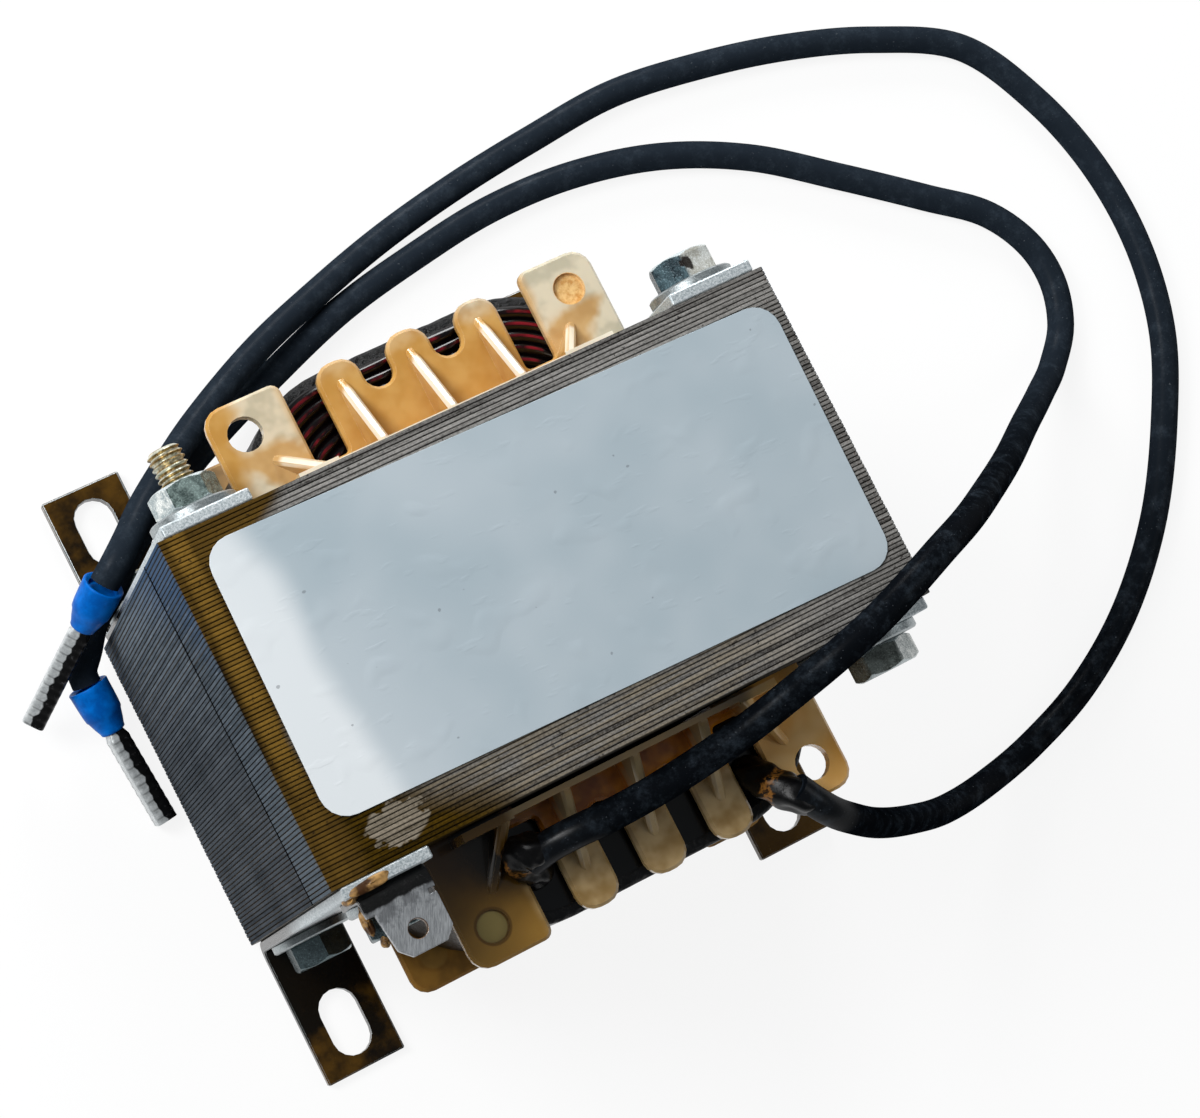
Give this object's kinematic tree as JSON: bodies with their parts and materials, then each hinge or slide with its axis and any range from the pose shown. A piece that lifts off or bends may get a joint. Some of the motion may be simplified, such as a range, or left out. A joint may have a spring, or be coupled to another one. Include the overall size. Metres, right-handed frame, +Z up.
{
  "type": "dc link choke",
  "caption": "Iron core choke on slotted feet: E and I sheet core, toothed bobbin with its winding, earth tab, and two flying leads with crimped ferrules.",
  "frame": {"origin": "under the middle of the core, on the feet's underside", "axes": "+X along the core's long side, +Y along the stack from the lead side to the back, +Z up"},
  "size_m": [0.1467, 0.0942, 0.061],
  "materials": {
    "core_steel": "varnished edges of stacked sheets",
    "gap_board": "dark pressed board",
    "label": "bare pale printed-paper stock, satin",
    "strip_steel": "yellow-bronze passivated strip",
    "bolt_steel": "zinc plated",
    "nut_steel": "zinc plated",
    "washer_steel": "zinc plated",
    "tab_tin": "tinned",
    "bobbin_nylon": "varnished ivory moulding",
    "winding_enamel": "red enamel under clear varnish",
    "wrap_tape": "glossy black wrap",
    "lead_rubber": "matte blue-black",
    "sleeve_resin": "dark resin over cloth",
    "collar_blue": "satin blue",
    "pin_tin": "tinned, crimped"
  },
  "bodies": {
    "root": {"bobbin": "bobbin_nylon", "bolt_lower_left": "bolt_steel", "bolt_lower_right": "bolt_steel", "bolt_upper_left": "bolt_steel", "bolt_upper_right": "bolt_steel", "bracket_back_left": "strip_steel", "bracket_back_right": "strip_steel", "bracket_front_left": "strip_steel", "bracket_front_right": "strip_steel", "e_core": "core_steel", "earth_tab": "tab_tin", "ferrule_collar_inner": "collar_blue", "ferrule_collar_outer": "collar_blue", "ferrule_pin_inner": "pin_tin", "ferrule_pin_outer": "pin_tin", "gap_sheet": "gap_board", "i_yoke": "core_steel", "label": "label", "lead_inner": "lead_rubber", "lead_outer": "lead_rubber", "lead_sleeve_inner": "sleeve_resin", "lead_sleeve_outer": "sleeve_resin", "nut_lower_left": "nut_steel", "nut_lower_right": "nut_steel", "nut_upper_left": "nut_steel", "nut_upper_right": "nut_steel", "outer_wrap": "wrap_tape", "washer_lower_left_back": "washer_steel", "washer_lower_left_front": "washer_steel", "washer_lower_right_back": "washer_steel", "washer_lower_right_front": "washer_steel", "washer_upper_left_back": "washer_steel", "washer_upper_left_front": "washer_steel", "washer_upper_right_back": "washer_steel", "washer_upper_right_front": "washer_steel", "winding": "winding_enamel"}
  },
  "joints": []
}
